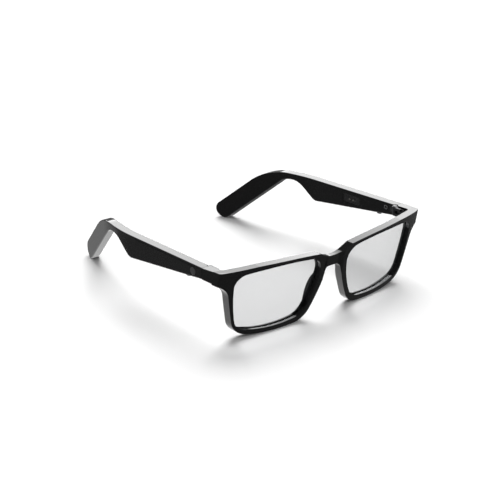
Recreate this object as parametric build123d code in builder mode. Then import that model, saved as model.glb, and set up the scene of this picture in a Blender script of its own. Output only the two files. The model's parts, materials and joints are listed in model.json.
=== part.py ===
from build123d import *
import os
from math import asin, cos, degrees, radians, sin, tan

# Smart glasses: a moulded front with two lenses, and two hinged arms that hold the
# electronics. +Z is up, the front faces -Y, and X = 0 is the plane of symmetry.
# The glasses stand on the lower rims and the ear tips, at Z = 0.
# Every piece of the left-hand arm and lens (the wearer's left, +X) is modelled once,
# and its right-hand twin is the same piece mirrored in X = 0.

# ---- overall datums ----
front_y = -76.78        # Y of the front datum, which centres the whole depth on Y = 0
top_reach = 60.0        # longer than any height, for cuts that run right through

# ---- wrapped front ----
rim_depth = 4.5         # front to back
tilt = 0.2              # the front leans back this much per unit of height
tilt_height = 35.0      # height at which the wrap curve passes through the datum
centre_radius = 517.0   # wrap radius over the bridge
centre_half = 30.0      # half width of the flatter centre
side_radius = 134.0     # wrap radius towards the end pieces
side_angle = 22.0
lens_set_back = 1.5     # rim face to lens face
lens_thickness = 2.0
lens_tuck = 0.5         # how far the lens reaches into its groove
groove_gap = 0.08
end_corner = 2.2        # rounding of the end pieces' outer front corner
opening_edge = 0.3      # rounding of the lens openings' front edge

# ---- end pieces and hinge ----
joint_y = 22.3          # from the front datum to the joint between end piece and arm
joint_gap = 0.3
pivot_x = 65.7
knuckle_radius = 1.5
knuckle_swing = 1.7     # radius cleared around the knuckles
leaf_low = 34.2
leaf_high = 39.2
eye_low = 35.85
eye_high = 37.65
knuckle_gap = 0.06
pin_radius = 0.6
pin_running_gap = 0.05

# ---- arms ----
arm_outer_x = 71.3      # outer face at the joint
arm_lean = 1.72         # degrees that the arms close in towards the back
arm_straight = 62.7     # straight length before the bend behind the ear
arm_bend_radius = 107.7
arm_bend_angle = 17.67
arm_thickness = 5.4
wall = 1.0
cover_depth = 1.2
seam = 0.75             # the cover's edge runs this far inside the arm's edge
cover_start = 4.7
cover_end = 70.0
cavity_start = 5.5
cavity_end = 67.5
piece_gap = 0.05
arm_edge = 0.5          # rounding along the arm's long edges

# Side outline of an arm: distance back from the joint, height, corner radius
arm_outline = [
    (0.0, 39.8, 0.0),
    (98.7, 36.5, 38.0),
    (136.3, 4.3, 5.0),
    (126.0, -0.765, 4.0),
    (82.2, 37.1, 13.6),
    (64.3, 24.5, 6.0),
    (0.0, 33.6, 0.0),
]

# ---- controls and electronics, measured back along the arm and up from the floor ----
touch_at = (7.3, 35.7)
touch_radius = 2.1
light_at = (7.1, 36.7)
light_radius = 1.3
button_at = 14.4
button_length = 2.9
button_width = 1.8
button_travel = 0.4
port_centre = (33.9, 33.7)
port_size = (13.4, 5.3)
contact_at = ((32.6, 33.5), (35.3, 33.5))
mid_depth = arm_thickness / 2
speaker_slot_at = 57.5
speaker_slot = (5.6, 1.8)
mic_at = 22.0

os.makedirs("parts", exist_ok=True)


def plan(height):
    """Horizontal plane whose Y is measured back from the front datum."""
    return Plane((0, front_y, height))


def arm_side(depth):
    """Plane parallel to the arm's outer face, depth inside it: x back, y up."""
    lean = radians(arm_lean)
    joint = Vector(arm_outer_x, front_y + joint_y + joint_gap / 2, 0)
    outward = Vector(cos(lean), sin(lean), 0)
    back = Vector(-sin(lean), cos(lean), 0)
    return Plane(joint - outward * depth, x_dir=back, z_dir=outward)


def front_band(set_back, thickness):
    """Plan section of the wrapped front, as a curved band."""
    centre_turn = degrees(asin(centre_half / centre_radius))
    with BuildSketch(Plane.XY) as band:
        with BuildLine():
            ends = []
            for inset in (set_back, set_back + thickness):
                inner = JernArc((0, inset), (1, 0), centre_radius - inset, centre_turn)
                outer = JernArc(inner @ 1, inner % 1, side_radius - inset, side_angle)
                ends.append(outer @ 1)
            Line(ends[0], ends[1])
            Line((0, set_back), (0, set_back + thickness))
        make_face()
        mirror(about=Plane.YZ)
    return band.sketch


def front_slab(set_back, thickness):
    """The wrapped, tilted slab that rims and lenses are cut from."""
    below = 12.0
    foot = (0, front_y + tilt * (tilt_height + below), -below)
    with BuildPart() as slab:
        with BuildSketch(Plane(foot, x_dir=(1, 0, 0), z_dir=(0, -tilt, 1))):
            add(front_band(set_back, thickness))
        extrude(amount=top_reach + below)
    return slab.part


def half_front():
    """Front view of the right-hand half of the front, without the lens opening."""
    with BuildSketch(Plane.XY) as half:
        with BuildLine():
            saddle = ThreePointArc((0, 34.5), (4.4, 35.0), (7.5, 36.5))
            notch = Line(saddle @ 1, (11.4, 38.6))
            brow = ThreePointArc(notch @ 1, (30, 40.4), (50, 41.2))
            temple_top = Line(brow @ 1, (74.0, 40.3))
            end_drop = Line(temple_top @ 1, (74.0, 33.3))
            under_end = Line(end_drop @ 1, (66.1, 33.3))
            side = ThreePointArc(under_end @ 1, (62.9, 17.5), (59.6, 3.27))
            base = ThreePointArc(side @ 1, (33.0, 0.0), (16.0, 1.32))
            nasal = ThreePointArc(base @ 1, (9.1, 15.2), (4.9, 28.4))
            arch = Line(nasal @ 1, (0, 28.4))
            Line(arch @ 1, (0, 34.5))
        make_face()
        fillet(half.vertices().sort_by_distance((66.1, 33.3))[0], radius=9.0)
        fillet(half.vertices().sort_by_distance((59.6, 3.27))[0], radius=11.0)
        fillet(half.vertices().sort_by_distance((16.0, 1.32))[0], radius=11.0)
        fillet(half.vertices().sort_by_distance((4.9, 28.4))[0], radius=3.5)
    return half.sketch


def lens_outline(grow=0.0):
    """Front view of one lens opening, let out by grow on every side."""
    nasal_top = (9.2 - grow, 35.6 + 0.90 * grow)
    side_top = (62.2 + grow, 37.0 + grow)
    side_base = (58.3 + 0.83 * grow, 5.9 - 0.78 * grow)
    nasal_base = (18.3 - 0.60 * grow, 4.0 - 0.95 * grow)
    with BuildSketch(Plane.XY) as opening:
        with BuildLine():
            ThreePointArc(nasal_top, (40.0, 38.5 + grow), side_top)
            ThreePointArc(side_top, (61.2 + grow, 20.0), side_base)
            ThreePointArc(side_base, (36.0, 2.6 - grow), nasal_base)
            ThreePointArc(nasal_base, (11.1 - 0.98 * grow, 19.6), nasal_top)
        make_face()
        for corner, radius in (
            (nasal_top, 8.0),
            (side_top, 7.0),
            (side_base, 8.0),
            (nasal_base, 9.0),
        ):
            vertex = opening.vertices().sort_by_distance(corner)[0]
            fillet(vertex, radius=radius + grow)
    return opening.sketch


def arm_band(depth, thickness):
    """Plan section of an arm between two depths from its outer face, joint to tip."""
    lean = radians(arm_lean)
    inward = Vector(-cos(lean), -sin(lean))
    joint = Vector(arm_outer_x, joint_y + joint_gap / 2)
    with BuildSketch(Plane.XY) as band:
        with BuildLine():
            starts = []
            ends = []
            for inset in (depth, depth + thickness):
                start = joint + inward * inset
                back = Vector(-sin(lean), cos(lean))
                straight = Line(start, start + back * arm_straight)
                radius = arm_bend_radius - inset
                bend = JernArc(straight @ 1, straight % 1, radius, arm_bend_angle)
                tail = Line(bend @ 1, bend @ 1 + (bend % 1) * 45.0)
                starts.append(start)
                ends.append(tail @ 1)
            Line(starts[0], starts[1])
            Line(ends[0], ends[1])
        make_face()
    return band.sketch


def arm_slab(depth, thickness):
    """An arm's full-height slab between two depths from its outer face."""
    with BuildPart() as slab:
        with BuildSketch(plan(-5)):
            add(arm_band(depth, thickness))
        extrude(amount=top_reach)
    return slab.part


def arm_profile():
    """Side view of an arm."""
    with BuildSketch(Plane.XY) as profile:
        with BuildLine():
            FilletPolyline(
                [(x, z) for x, z, radius in arm_outline],
                radius=[radius for x, z, radius in arm_outline],
                close=True,
            )
        make_face()
    return profile.sketch


def arm_prism(inset, start, end):
    """The arm's side outline drawn in by inset, between two stations, right through."""
    with BuildPart() as prism:
        with BuildSketch(arm_side(-2)):
            add(arm_profile())
            if inset:
                offset(amount=-inset)
            with Locations(((start + end) / 2, 20)):
                Rectangle(end - start, 60, mode=Mode.INTERSECT)
        extrude(amount=-40)
    return prism.part


def boss(centre, size, depth, thickness, corner=0.0):
    """A block on the arm: centre and size seen from the side, between two depths."""
    with BuildPart() as block:
        with BuildSketch(arm_side(depth)):
            with Locations(centre):
                if corner:
                    RectangleRounded(*size, corner)
                else:
                    Rectangle(*size)
        extrude(amount=-thickness)
    return block.part


def disc(centre, radius, depth, thickness):
    """A round on the arm: centre seen from the side, between two depths."""
    with BuildPart() as block:
        with BuildSketch(arm_side(depth)):
            with Locations(centre):
                Circle(radius)
        extrude(amount=-thickness)
    return block.part


def outline_edges(part, axis_test):
    """Edges around a group of faces, leaving out those that two of them share."""
    group = part.faces().filter_by(axis_test)
    edges = [edge for face in group for edge in face.edges()]
    return ShapeList(
        edge for edge in edges
        if sum(edge.is_same(other) for other in edges) == 1
    )


# ---- front frame ----
def end_block():
    """The solid behind the wrapped face that carries the hinge."""
    with BuildPart() as block:
        with BuildSketch(plan(25)):
            with BuildLine():
                FilletPolyline(
                    (74, 0),
                    (74, joint_y - joint_gap / 2),
                    (66.15, joint_y - joint_gap / 2),
                    (66.15, 11.9),
                    (57.5, 9.8),
                    (57.5, 0),
                    radius=[0, 0, 0, 3.0, 0, 0],
                    close=True,
                )
            make_face()
        extrude(amount=25)
        with BuildSketch(Plane.YZ.offset(50)):
            with BuildLine():
                Polyline(
                    (front_y - 5, 41.3),
                    (front_y + joint_y, 39.8),
                    (front_y + joint_y, 33.6),
                    (front_y + 11.0, 33.3),
                    (front_y - 5, 33.3),
                    close=True,
                )
            make_face()
        extrude(amount=30, mode=Mode.INTERSECT)
        add(front_slab(0, 30), mode=Mode.INTERSECT)
    return block.part


with BuildPart() as front_half:
    with BuildSketch(Plane.XZ.offset(-front_y + 10)):
        add(half_front())
    extrude(amount=-50)
    add(front_slab(0, rim_depth), mode=Mode.INTERSECT)
    add(end_block())
    # straight outer side of the end piece, in line with the arm's outer face
    with BuildSketch(plan(-5)):
        with BuildLine():
            Polyline((-1, -20), (68.2, -20), (71.3, joint_y), (71.3, 40), (-1, 40), close=True)
        make_face()
    extrude(amount=top_reach, mode=Mode.INTERSECT)
    # rounded corner from the front face to the end piece's outer side
    corner = front_half.edges().filter_by(
        lambda edge: edge.center().X > 69 and abs(edge.center().Z - 36.5) < 1.5
        and edge.center().Y < front_y + 12 and edge.length > 5
    )
    fillet(corner, radius=end_corner)

with BuildPart() as lens_opening:
    with BuildSketch(Plane.XZ.offset(-front_y + 10)):
        add(lens_outline())
    extrude(amount=-50)

with BuildPart() as lens_left:
    with BuildSketch(Plane.XZ.offset(-front_y + 10)):
        add(lens_outline(lens_tuck))
    extrude(amount=-50)
    add(front_slab(lens_set_back, lens_thickness), mode=Mode.INTERSECT)

with BuildPart() as lens_groove:
    with BuildSketch(Plane.XZ.offset(-front_y + 10)):
        add(lens_outline(lens_tuck + groove_gap))
    extrude(amount=-50)
    groove = front_slab(lens_set_back - groove_gap, lens_thickness + 2 * groove_gap)
    add(groove, mode=Mode.INTERSECT)


def on_front_face(edge):
    """True for an edge that lies on the wrapped front face."""
    point = edge.center()
    across = abs(point.X)
    slope = asin(centre_half / centre_radius)
    past = max(0.0, across - centre_half)
    wrap = min(across, centre_half) ** 2 / (2 * centre_radius)
    wrap += past * tan(slope) + past**2 / (2 * side_radius * cos(slope) ** 3)
    face = front_y + wrap + tilt * (tilt_height - point.Z)
    return abs(point.Y - face) < 0.9 and edge.length > 0.3


with BuildPart() as front_frame:
    add(front_half.part)
    mirror(about=Plane.YZ)
    # recessed flat across the bridge, with a facet on each side
    facet_y = tilt * (tilt_height - 20)
    with BuildSketch(plan(20)):
        with BuildLine():
            Polyline(
                (-6.9, -5),
                (-6.9, facet_y),
                (-3.8, facet_y + 1.5),
                (3.8, facet_y + 1.5),
                (6.9, facet_y),
                (6.9, -5),
                close=True,
            )
        make_face()
    extrude(amount=30, dir=(0, -tilt, 1), mode=Mode.SUBTRACT)
    # lens openings, with a rounded front edge, and the grooves that hold the lenses
    openings = [lens_opening.part, mirror(lens_opening.part, about=Plane.YZ, mode=Mode.PRIVATE)]
    grooves = [lens_groove.part, mirror(lens_groove.part, about=Plane.YZ, mode=Mode.PRIVATE)]
    add(openings, mode=Mode.SUBTRACT)
    opening_walls = [face for cutter in openings for face in cutter.faces()]
    fillet(
        front_frame.edges().filter_by(on_front_face).filter_by(
            lambda edge: any(edge.distance_to(face) < 0.01 for face in opening_walls)
        ),
        radius=opening_edge,
    )
    add(grooves, mode=Mode.SUBTRACT)
    for side in (1, -1):
        # room for the knuckles, and the recess for the metal leaf
        with BuildSketch(plan(20)):
            with Locations((side * pivot_x, joint_y)):
                Circle(knuckle_swing)
        extrude(amount=40, mode=Mode.SUBTRACT)
        with BuildSketch(plan(leaf_low - piece_gap)):
            with Locations((side * (pivot_x - 1.0), joint_y - 3.6)):
                Rectangle(2.9, 8.0)
        extrude(amount=leaf_high - leaf_low + 2 * piece_gap, mode=Mode.SUBTRACT)
        with BuildSketch(Plane.YZ.offset(side * 64.0)):
            with Locations((front_y + 16.6, 36.7)):
                Circle(0.5)
        extrude(amount=side * 4.5, mode=Mode.SUBTRACT)

# ---- nose pads: long soft lobes behind the nasal side of each rim ----
# height, centre across, centre back, half width, half length of each level section
pad_sections = [
    (26.0, 7.6, 5.8, 0.9, 1.1),
    (22.0, 8.6, 7.2, 1.5, 2.5),
    (17.0, 10.4, 8.3, 1.6, 2.6),
    (12.5, 12.3, 9.0, 1.5, 1.8),
    (9.0, 14.0, 9.3, 0.8, 1.0),
]
with BuildPart() as nose_pad_left:
    for height, across, back, half_width, half_length in pad_sections:
        with BuildSketch(plan(height)):
            with Locations((across, back)):
                Ellipse(half_width, half_length, rotation=-22)
    loft()
    add(front_slab(-8, rim_depth + 8), mode=Mode.SUBTRACT)

# ---- hinge ----
with BuildPart() as front_hinge_left:
    for low, high in (
        (leaf_low, eye_low - knuckle_gap),
        (eye_high + knuckle_gap, leaf_high),
    ):
        with BuildSketch(plan(low)):
            with Locations((pivot_x, joint_y)):
                Circle(knuckle_radius)
            with Locations((pivot_x - 0.55, joint_y - 2.6)):
                Rectangle(1.9, 5.2)
        extrude(amount=high - low)
    with BuildSketch(plan(leaf_low)):
        with Locations((pivot_x - 0.15, joint_y - 5.0)):
            Rectangle(1.1, 5.0)
    extrude(amount=leaf_high - leaf_low)
    with Locations((pivot_x, front_y + joint_y, leaf_low)):
        Cylinder(pin_radius, 30, mode=Mode.SUBTRACT)
    with BuildSketch(Plane.YZ.offset(60)):
        with Locations((front_y + 16.6, 36.7)):
            Circle(0.5)
    extrude(amount=10, mode=Mode.SUBTRACT)

with BuildPart() as hinge_screw_left:
    with BuildSketch(plan(leaf_low)):
        with Locations((pivot_x, joint_y)):
            Circle(pin_radius)
    extrude(amount=leaf_high - leaf_low)
    with BuildSketch(plan(leaf_high)):
        with Locations((pivot_x, joint_y)):
            Circle(1.1)
    extrude(amount=0.35)
    with BuildSketch(plan(leaf_high + 0.15)):
        with Locations((pivot_x, joint_y)):
            Rectangle(2.4, 0.3)
    extrude(amount=1, mode=Mode.SUBTRACT)

with BuildPart() as front_leaf_screw_left:
    with BuildSketch(Plane.YZ.offset(pivot_x - 1.05)):
        with Locations((front_y + 16.6, 36.7)):
            Circle(1.0)
    extrude(amount=0.35)
    with BuildSketch(Plane.YZ.offset(pivot_x - 0.7)):
        with Locations((front_y + 16.6, 36.7)):
            Circle(0.5)
    extrude(amount=2.6)

with BuildPart() as temple_hinge_left:
    with BuildSketch(plan(eye_low)):
        with Locations((pivot_x, joint_y)):
            Circle(knuckle_radius)
        with Locations((pivot_x + 0.45, joint_y + 1.6)):
            Rectangle(1.1, 3.2)
    extrude(amount=eye_high - eye_low)
    add(boss((3.0, 36.7), (2.8, 4.0), 4.25, 1.1))
    with Locations((pivot_x, front_y + joint_y, eye_low)):
        Cylinder(pin_radius + pin_running_gap, 30, mode=Mode.SUBTRACT)
    add(disc((2.9, 36.7), 0.5, 3, 5), mode=Mode.SUBTRACT)
    add(disc((2.9, 36.7), 1.05, 5.0, 2), mode=Mode.SUBTRACT)

with BuildPart() as temple_leaf_screw_left:
    add(disc((2.9, 36.7), 1.0, 5.0, 0.35))
    add(disc((2.9, 36.7), 0.5, 2.6, 2.75))

# ---- arm: outer shell ----
tip_line = [
    (67.0, 33.3),
    (74.0, 34.6),
    (90.0, 34.9),
    (126.0, 4.6),
]
with BuildPart() as tip_core_left:
    with BuildSketch(arm_side(-2)):
        with BuildLine():
            FilletPolyline(tip_line, radius=[8.0, 16.0])
        trace(line_width=1.1)
    extrude(amount=-40)
    add(arm_slab(mid_depth - 0.45, 0.9), mode=Mode.INTERSECT)

# plane of the arm's underside at the speaker slot
slot_plane_z = 33.6 - 0.1415 * speaker_slot_at
under = Plane(
    arm_side(mid_depth).from_local_coords((speaker_slot_at, slot_plane_z, 0)),
    x_dir=arm_side(0).x_dir * cos(radians(8.05)) - Vector(0, 0, sin(radians(8.05))),
    z_dir=Vector(0, 0, cos(radians(8.05))) + arm_side(0).x_dir * sin(radians(8.05)),
)
# hollow for the electronics, open towards the head, and the ledge for the cover
with BuildPart() as arm_hollow:
    add(arm_slab(wall, arm_thickness))
    add(arm_prism(wall + 0.35, cavity_start, cavity_end), mode=Mode.INTERSECT)

with BuildPart() as cover_ledge:
    add(arm_slab(arm_thickness - cover_depth, 5))
    add(arm_prism(seam, cover_start, cover_end), mode=Mode.INTERSECT)

with BuildPart() as temple_shell_left:
    add(arm_slab(0, arm_thickness))
    add(arm_prism(0, 0, 150), mode=Mode.INTERSECT)
    fillet(
        outline_edges(temple_shell_left, lambda face: abs(face.normal_at().X) > 0.8).filter_by(
            lambda edge: edge.center().Y > front_y + joint_y + 1
        ),
        radius=arm_edge,
    )
    add(arm_hollow.part, mode=Mode.SUBTRACT)
    add(cover_ledge.part, mode=Mode.SUBTRACT)
    add(tip_core_left.part, mode=Mode.SUBTRACT)
    # fine styling line along the outer face, just under the top edge
    with BuildSketch(arm_side(0.2)):
        with BuildLine():
            Polyline((2.0, 38.75), (58.0, 36.9), (58.0, 36.6), (2.0, 38.45), close=True)
        make_face()
    extrude(amount=2, mode=Mode.SUBTRACT)
    # room for the knuckles and the metal leaf
    with BuildSketch(plan(20)):
        with Locations((pivot_x, joint_y)):
            Circle(knuckle_swing)
    extrude(amount=40, mode=Mode.SUBTRACT)
    add(boss((2.4, 36.7), (4.1, 4.1), 4.2, 2), mode=Mode.SUBTRACT)
    add(boss((0.5, 36.7), (2.0, 2.0), 2.0, 4), mode=Mode.SUBTRACT)
    add(disc((2.9, 36.7), 0.5, 2.6, 2), mode=Mode.SUBTRACT)
    # touch disc recess, button hole, microphone hole and speaker slot
    add(disc(touch_at, touch_radius + piece_gap, 0.45, -2), mode=Mode.SUBTRACT)
    for at, size, corner in (
        (button_at, (button_length + 0.16, button_width + 0.16), 0.9),
        (speaker_slot_at, (speaker_slot[0] - 0.8, speaker_slot[1] - 0.6), 0.4),
        (mic_at, (0.8, 0.8), 0.39),
    ):
        with BuildSketch(Plane(arm_side(mid_depth).from_local_coords((at, 0, 0)),
                               x_dir=arm_side(0).x_dir, z_dir=(0, 0, 1))):
            RectangleRounded(*size, corner)
        extrude(amount=34.0, mode=Mode.SUBTRACT)
    with BuildSketch(under.offset(-2)):
        RectangleRounded(speaker_slot[0] + 0.1, speaker_slot[1] + 0.1, 0.65)
    extrude(amount=2.56, mode=Mode.SUBTRACT)


# ---- arm: inner cover with the inset charging panel ----
with BuildPart() as temple_cover_left:
    add(arm_slab(arm_thickness - cover_depth + piece_gap, cover_depth - piece_gap))
    add(arm_prism(seam + piece_gap, cover_start + piece_gap, cover_end - piece_gap),
        mode=Mode.INTERSECT)
    width, height = port_size
    add(boss(port_centre, (width, height), 3, 4, 0.8), mode=Mode.SUBTRACT)
    add(disc(light_at, light_radius, arm_thickness - 0.5, 1), mode=Mode.SUBTRACT)
    add(disc(light_at, light_radius - 0.5, arm_thickness - 0.6, 0.6))

with BuildPart() as port_panel_left:
    add(boss(port_centre, (width - 0.1, height - 0.1), 4.25, 0.85, 0.75))
    for centre in contact_at:
        add(disc(centre, 0.6, 3, 4), mode=Mode.SUBTRACT)

with BuildPart() as charge_contacts_left:
    for centre in contact_at:
        add(disc(centre, 0.55, 3.2, 2.0))
        add(disc(centre, 0.8, 3.6, 0.6))

with BuildPart() as port_magnets_left:
    for along in (port_centre[0] - 4.9, port_centre[0] + 4.9):
        add(boss((along, port_centre[1]), (2.4, 3.6), 3.0, 1.2))

with BuildPart() as status_light_left:
    add(disc(light_at, light_radius - 0.03, arm_thickness - 0.45, 0.5))
    add(disc(light_at, light_radius - 0.47, arm_thickness - 1, 2), mode=Mode.SUBTRACT)

with BuildPart() as touch_pad_left:
    add(disc(touch_at, touch_radius, 0.42, -0.5))
    fillet(touch_pad_left.edges().sort_by(Axis.X)[-1], radius=0.07)

# ---- electronics inside the arm ----
with BuildPart() as touch_sensor_left:
    add(boss((7.7, 35.7), (3.6, 3.2), wall + 0.05, 0.2))

with BuildPart() as main_board_left:
    with BuildSketch(arm_side(1.3)):
        with BuildLine():
            Polyline(
                (10.0, 34.4),
                (17.4, 34.4),
                (17.4, 32.9),
                (26.5, 31.7),
                (26.5, 37.2),
                (10.0, 37.7),
                close=True,
            )
        make_face()
    extrude(amount=-0.6)

with BuildPart() as radio_module_left:
    add(boss((21.0, 35.0), (5.0, 3.4), 1.92, 0.9))

with BuildPart() as tact_switch_left:
    add(boss((button_at, 34.9), (3.0, 1.4), 1.92, 2.0))

with BuildPart() as microphone_left:
    add(boss((mic_at, 32.5), (2.6, 0.9), 1.92, 1.6))

with BuildPart() as flex_cable_left:
    add(boss((43.5, 33.0), (33.0, 1.6), wall + 0.05, 0.15))

with BuildPart() as battery_left:
    add(boss((50.4, 32.6), (15.0, 7.0), 1.3, 2.7, 0.6))
    fillet(battery_left.edges().filter_by(GeomType.LINE), radius=0.3)

with BuildPart() as speaker_left:
    add(boss((62.4, 31.6), (7.2, 7.4), 1.3, 2.3, 2.0))
    add(boss((62.4, 31.6), (5.4, 5.6), 3.6, 0.25, 1.5))

# ---- perforated speaker mesh under the arm ----
with BuildPart() as speaker_mesh_left:
    with BuildSketch(under.offset(0.25)):
        RectangleRounded(*speaker_slot, 0.6)
        with GridLocations(0.7, 0.6, 7, 2):
            Circle(0.17, mode=Mode.SUBTRACT)
    extrude(amount=0.3)

# ---- function button under the arm ----
button_spot = Plane(
    arm_side(mid_depth).from_local_coords((button_at, 0, 0)),
    x_dir=arm_side(0).x_dir,
    z_dir=(0, 0, 1),
)
with BuildPart() as function_button_left:
    with BuildSketch(button_spot.offset(30.3)):
        RectangleRounded(button_length, button_width, 0.85)
    extrude(amount=3.05)
    with BuildSketch(button_spot.offset(33.3)):
        RectangleRounded(button_length + 0.8, button_width + 0.7, 1.0)
    extrude(amount=0.35)
    fillet(function_button_left.faces().sort_by(Axis.Z)[0].edges(), radius=0.25)

left_pieces = {
    "lens": lens_left,
    "nose_pad": nose_pad_left,
    "front_hinge": front_hinge_left,
    "front_leaf_screw": front_leaf_screw_left,
    "hinge_screw": hinge_screw_left,
    "temple_hinge": temple_hinge_left,
    "temple_leaf_screw": temple_leaf_screw_left,
    "temple_shell": temple_shell_left,
    "temple_cover": temple_cover_left,
    "tip_core": tip_core_left,
    "port_panel": port_panel_left,
    "charge_contacts": charge_contacts_left,
    "port_magnets": port_magnets_left,
    "status_light": status_light_left,
    "touch_pad": touch_pad_left,
    "touch_sensor": touch_sensor_left,
    "main_board": main_board_left,
    "radio_module": radio_module_left,
    "tact_switch": tact_switch_left,
    "microphone": microphone_left,
    "flex_cable": flex_cable_left,
    "battery": battery_left,
    "speaker": speaker_left,
    "speaker_mesh": speaker_mesh_left,
    "function_button": function_button_left,
}

front_frame.part.label = "front_frame"
export_step(front_frame.part, "parts/front_frame.step")
for name, piece in left_pieces.items():
    piece.part.label = name + "_left"
    export_step(piece.part, f"parts/{name}_left.step")
    with BuildPart() as twin:
        mirror(piece.part, about=Plane.YZ)
    twin.part.label = name + "_right"
    export_step(twin.part, f"parts/{name}_right.step")
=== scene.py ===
import json
import math

import bpy
from mathutils import Matrix, Vector


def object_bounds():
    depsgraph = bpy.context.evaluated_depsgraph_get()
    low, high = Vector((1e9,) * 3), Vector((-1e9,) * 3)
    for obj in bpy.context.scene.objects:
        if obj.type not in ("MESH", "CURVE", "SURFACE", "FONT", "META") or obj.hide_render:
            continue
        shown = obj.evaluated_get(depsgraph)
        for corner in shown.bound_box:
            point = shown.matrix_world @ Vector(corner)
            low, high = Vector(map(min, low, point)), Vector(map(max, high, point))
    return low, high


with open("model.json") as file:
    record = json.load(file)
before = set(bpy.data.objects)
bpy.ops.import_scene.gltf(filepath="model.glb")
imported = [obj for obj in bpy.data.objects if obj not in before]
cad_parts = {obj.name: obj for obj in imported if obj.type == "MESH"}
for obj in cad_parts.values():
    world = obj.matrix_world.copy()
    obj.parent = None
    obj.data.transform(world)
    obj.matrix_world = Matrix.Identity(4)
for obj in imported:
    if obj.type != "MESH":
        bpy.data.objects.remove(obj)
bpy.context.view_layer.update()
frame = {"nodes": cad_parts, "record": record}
nodes = frame["nodes"]
scene = bpy.context.scene


# ---- materials: pattern scales in repeats per metre, depths in metres ----
cloud_scale = 60.0
gloss_grain_scale = 3500.0
satin_grain_scale = 9000.0
brushed_scale = 3000.0
grain_depth = 0.00002
brushed_depth = 0.00001
brushed_strength = 0.15
# nearly all of a noise pattern lies between these two values
pattern_low, pattern_high = 0.3, 0.7


def empty_material(name):
    material = bpy.data.materials.new(name)
    material.use_nodes = True
    tree = material.node_tree
    tree.nodes.clear()
    output = tree.nodes.new("ShaderNodeOutputMaterial")
    return material, tree, output


def new_material(name):
    material, tree, output = empty_material(name)
    shader = tree.nodes.new("ShaderNodeBsdfPrincipled")
    tree.links.new(shader.outputs["BSDF"], output.inputs["Surface"])
    return material, tree, shader


def noise(tree, scale, detail, stretch=(1, 1, 1)):
    """A noise pattern fixed to the piece, stretched along its axes."""
    place = tree.nodes.new("ShaderNodeTexCoord")
    mapping = tree.nodes.new("ShaderNodeMapping")
    pattern = tree.nodes.new("ShaderNodeTexNoise")
    mapping.inputs["Scale"].default_value = stretch
    pattern.inputs["Scale"].default_value = scale
    pattern.inputs["Detail"].default_value = detail
    tree.links.new(place.outputs["Object"], mapping.inputs["Vector"])
    tree.links.new(mapping.outputs["Vector"], pattern.inputs["Vector"])
    return pattern.outputs["Fac"]


def spread(tree, pattern, low_value, high_value):
    """Maps a pattern to a range of numbers."""
    scale = tree.nodes.new("ShaderNodeMapRange")
    scale.inputs["From Min"].default_value = pattern_low
    scale.inputs["From Max"].default_value = pattern_high
    scale.inputs["To Min"].default_value = low_value
    scale.inputs["To Max"].default_value = high_value
    tree.links.new(pattern, scale.inputs["Value"])
    return scale.outputs["Result"]


def tint(tree, pattern, dark, light):
    """Mixes two colours by a pattern."""
    mix = tree.nodes.new("ShaderNodeMix")
    mix.data_type = "RGBA"
    mix.inputs["A"].default_value = (*dark, 1)
    mix.inputs["B"].default_value = (*light, 1)
    tree.links.new(pattern, mix.inputs["Factor"])
    return mix.outputs["Result"]


def bump(tree, shader, pattern, strength, depth):
    """Raises the surface by a pattern."""
    raised = tree.nodes.new("ShaderNodeBump")
    raised.inputs["Strength"].default_value = strength
    raised.inputs["Distance"].default_value = depth
    tree.links.new(pattern, raised.inputs["Height"])
    tree.links.new(raised.outputs["Normal"], shader.inputs["Normal"])


def plastic(name, dark, light, rough, level=0.5, grain=0.0, grain_scale=satin_grain_scale):
    """A plastic with cloudy colour and roughness, and a fine grain if grain is above 0."""
    material, tree, shader = new_material(name)
    cloud = noise(tree, cloud_scale, 3.0)
    tree.links.new(tint(tree, cloud, dark, light), shader.inputs["Base Color"])
    tree.links.new(spread(tree, cloud, *rough), shader.inputs["Roughness"])
    shader.inputs["Specular IOR Level"].default_value = level
    if grain:
        bump(tree, shader, noise(tree, grain_scale, 1.0), grain, grain_depth)
    return material


def metal(name, dark, light, rough, stretch=(1, 1, 1)):
    """A metal with fine marks, drawn out along the axis where stretch is below 1."""
    material, tree, shader = new_material(name)
    marks = noise(tree, brushed_scale, 2.0, stretch)
    tree.links.new(tint(tree, marks, dark, light), shader.inputs["Base Color"])
    tree.links.new(spread(tree, marks, *rough), shader.inputs["Roughness"])
    shader.inputs["Metallic"].default_value = 1.0
    bump(tree, shader, marks, brushed_strength, brushed_depth)
    return material


def clear_lens(name):
    """A clear coated lens: what is behind shows through, with a reflection that grows at the edge."""
    material, tree, output = empty_material(name)
    through = tree.nodes.new("ShaderNodeBsdfTransparent")
    gloss = tree.nodes.new("ShaderNodeBsdfPrincipled")
    mix = tree.nodes.new("ShaderNodeMixShader")
    facing = tree.nodes.new("ShaderNodeLayerWeight")
    rise = tree.nodes.new("ShaderNodeMath")
    share = tree.nodes.new("ShaderNodeMapRange")
    through.inputs["Color"].default_value = (0.826, 0.828, 0.83, 1)
    gloss.inputs["Base Color"].default_value = (0.8, 0.82, 0.84, 1)
    gloss.inputs["Metallic"].default_value = 1.0
    gloss.inputs["Roughness"].default_value = 0.02
    facing.inputs["Blend"].default_value = 0.5
    rise.operation = "POWER"
    rise.inputs[1].default_value = 5.0
    share.inputs["To Min"].default_value = 0.012
    share.inputs["To Max"].default_value = 0.7
    tree.links.new(facing.outputs["Facing"], rise.inputs[0])
    tree.links.new(rise.outputs["Value"], share.inputs["Value"])
    tree.links.new(share.outputs["Result"], mix.inputs["Fac"])
    tree.links.new(through.outputs["BSDF"], mix.inputs[1])
    tree.links.new(gloss.outputs["BSDF"], mix.inputs[2])
    tree.links.new(mix.outputs["Shader"], output.inputs["Surface"])
    return material


gloss_dark, gloss_light = (0.002, 0.002, 0.0022), (0.0035, 0.0035, 0.0038)
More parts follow.
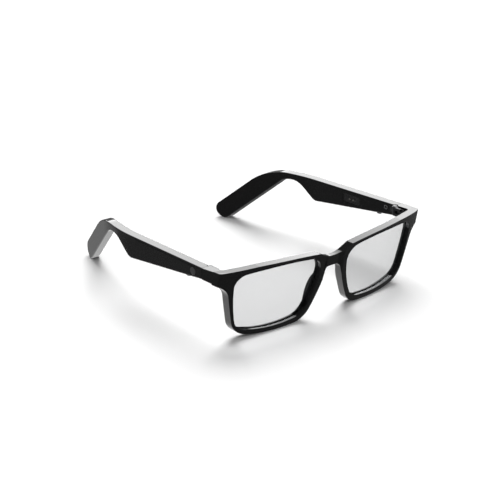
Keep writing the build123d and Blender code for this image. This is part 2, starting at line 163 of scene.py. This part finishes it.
# plastic: dark, light, roughness range, reflection level, grain, grain scale
# metal: dark, light, roughness range, stretch
recipes = {
    "frame_gloss": (plastic, gloss_dark, gloss_light, (0.05, 0.09), 0.35, 0.06, gloss_grain_scale),
    "arm_gloss": (plastic, gloss_dark, gloss_light, (0.07, 0.12), 0.35, 0.06, gloss_grain_scale),
    "pad_satin": (plastic, (0.03, 0.03, 0.031), (0.045, 0.045, 0.046), (0.25, 0.35), 0.5, 0.1),
    "lens_clear": (clear_lens,),
    "hinge_steel": (metal, (0.04, 0.04, 0.042), (0.08, 0.08, 0.083), (0.25, 0.4), (1, 1, 0.15)),
    "screw_steel": (metal, (0.07, 0.07, 0.073), (0.13, 0.13, 0.135), (0.25, 0.35)),
    "core_steel": (metal, (0.4, 0.4, 0.42), (0.6, 0.6, 0.62), (0.3, 0.45)),
    "port_black": (plastic, (0.011, 0.011, 0.0113), (0.015, 0.015, 0.0153), (0.16, 0.24), 0.4, 0.1),
    "contact_gold": (metal, (0.22, 0.21, 0.19), (0.3, 0.29, 0.26), (0.4, 0.5)),
    "magnet_nickel": (metal, (0.5, 0.49, 0.46), (0.68, 0.67, 0.63), (0.2, 0.35)),
    "light_pipe": (plastic, (0.1, 0.1, 0.105), (0.14, 0.14, 0.145), (0.3, 0.4)),
    "touch_satin": (plastic, (0.028, 0.028, 0.029), (0.038, 0.038, 0.039), (0.28, 0.36), 0.5, 0.12),
    "sensor_film": (plastic, (0.35, 0.2, 0.05), (0.45, 0.27, 0.07), (0.3, 0.4)),
    "board_green": (plastic, (0.01, 0.09, 0.04), (0.015, 0.13, 0.06), (0.3, 0.4)),
    "chip_black": (plastic, (0.015, 0.015, 0.016), (0.025, 0.025, 0.026), (0.4, 0.5)),
    "flex_amber": (plastic, (0.4, 0.18, 0.03), (0.5, 0.25, 0.05), (0.25, 0.35)),
    "cell_foil": (metal, (0.5, 0.5, 0.52), (0.66, 0.66, 0.68), (0.25, 0.4)),
    "speaker_grey": (plastic, (0.04, 0.04, 0.045), (0.07, 0.07, 0.075), (0.4, 0.5)),
    "mesh_steel": (metal, (0.05, 0.05, 0.055), (0.1, 0.1, 0.11), (0.35, 0.5)),
    "button_satin": (plastic, (0.008, 0.008, 0.009), (0.013, 0.013, 0.014), (0.2, 0.3), 0.5, 0.1),
}
looks = {name: make(name, *values) for name, (make, *values) in recipes.items()}

slot_of = {row["node"]: row["material_slot"] for row in frame["record"]["subparts"]}
for name, piece in nodes.items():
    piece.data.materials.clear()
    piece.data.materials.append(looks[slot_of[name]])


# ---- floor, hidden from gloss so that dark faces stay dark ----
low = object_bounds()[0]
reach = 6.0
corners = [(-reach, -reach, low.z), (reach, -reach, low.z), (reach, reach, low.z), (-reach, reach, low.z)]
floor_mesh = bpy.data.meshes.new("floor")
floor_mesh.from_pydata(corners, [], [(0, 1, 2, 3)])
floor = bpy.data.objects.new("floor", floor_mesh)
scene.collection.objects.link(floor)
floor.visible_glossy = False
floor_look, floor_tree, floor_shader = new_material("floor_white")
floor_tint = tint(floor_tree, noise(floor_tree, 4.0, 2.0), (0.93, 0.93, 0.93), (0.95, 0.95, 0.95))
floor_tree.links.new(floor_tint, floor_shader.inputs["Base Color"])
floor_shader.inputs["Roughness"].default_value = 0.9
floor_shader.inputs["Specular IOR Level"].default_value = 0.0
floor_mesh.materials.append(floor_look)


# ---- world: white behind the floor's edge, and dimmer as a source of light and reflections ----
world_as_light, world_as_backdrop = 0.22, 1.02
world = bpy.data.worlds.new("studio")
scene.world = world
world.use_nodes = True
backdrop = world.node_tree.nodes["Background"]
backdrop.inputs["Color"].default_value = (1, 1, 1, 1)
ray = world.node_tree.nodes.new("ShaderNodeLightPath")
level = world.node_tree.nodes.new("ShaderNodeMapRange")
level.inputs["To Min"].default_value = world_as_light
level.inputs["To Max"].default_value = world_as_backdrop
world.node_tree.links.new(ray.outputs["Is Camera Ray"], level.inputs["Value"])
world.node_tree.links.new(level.outputs["Result"], backdrop.inputs["Strength"])


# ---- lights ----
def add_lamp(name, kind, place, aim, energy):
    """A light at place that faces aim."""
    lamp = bpy.data.lights.new(name, kind)
    lamp.energy = energy
    light = bpy.data.objects.new(name, lamp)
    scene.collection.objects.link(light)
    light.location = place
    light.rotation_mode = "QUATERNION"
    light.rotation_quaternion = (Vector(place) - Vector(aim)).to_track_quat("Z", "Y")
    return light


def sky_light(name, place, spread_angle, energy):
    """Even soft light from the direction of place, which doesn't show in gloss."""
    light = add_lamp(name, "SUN", place, (0, 0, 0), energy)
    light.data.angle = math.radians(spread_angle)
    light.visible_glossy = False


def card(name, place, aim, width, height, energy):
    """A pale card that only shows in gloss."""
    light = add_lamp(name, "AREA", place, aim, energy)
    light.data.shape = "RECTANGLE"
    light.data.size = width
    light.data.size_y = height
    light.visible_diffuse = False


sky_light("key", (0.4, 0.5, 0.85), 42, 3.1)
sky_light("fill", (-0.3, -0.45, 1.2), 80, 0.7)
card("back_card", (0.65, 1.0, 0.65), (0, 0, 0.02), 1.45, 1.0, 19.0)
# two cards below the floor, which face straight up
card_drop = 0.3
for name, away, energy in (("low_card", 0.3, 1.2), ("far_card", 0.85, 0.3)):
    card(name, (0.0, away, low.z - card_drop), (0.0, away, 0.0), 0.65, 0.5, energy)


# ---- camera: above the front and to the wearer's right ----
azimuth, elevation, roll = math.radians(-40.431), math.radians(22.397), math.radians(0.08)
distance = 0.766443
middle = Vector((-0.049265, -0.065837, 0.047294))
back = Vector((math.sin(azimuth) * math.cos(elevation),
               -math.cos(azimuth) * math.cos(elevation),
               math.sin(elevation)))
camera_data = bpy.data.cameras.new("camera")
camera_data.sensor_width = 36.0
camera_data.lens = 110.275
camera_data.clip_start = 0.01
camera = bpy.data.objects.new("camera", camera_data)
scene.collection.objects.link(camera)
scene.camera = camera
camera.rotation_mode = "QUATERNION"
camera.rotation_quaternion = ((-back).to_track_quat("-Z", "Y")
                              @ Matrix.Rotation(roll, 3, "Z").to_quaternion())
camera.location = middle + back * distance

scene.view_settings.view_transform = "Standard"
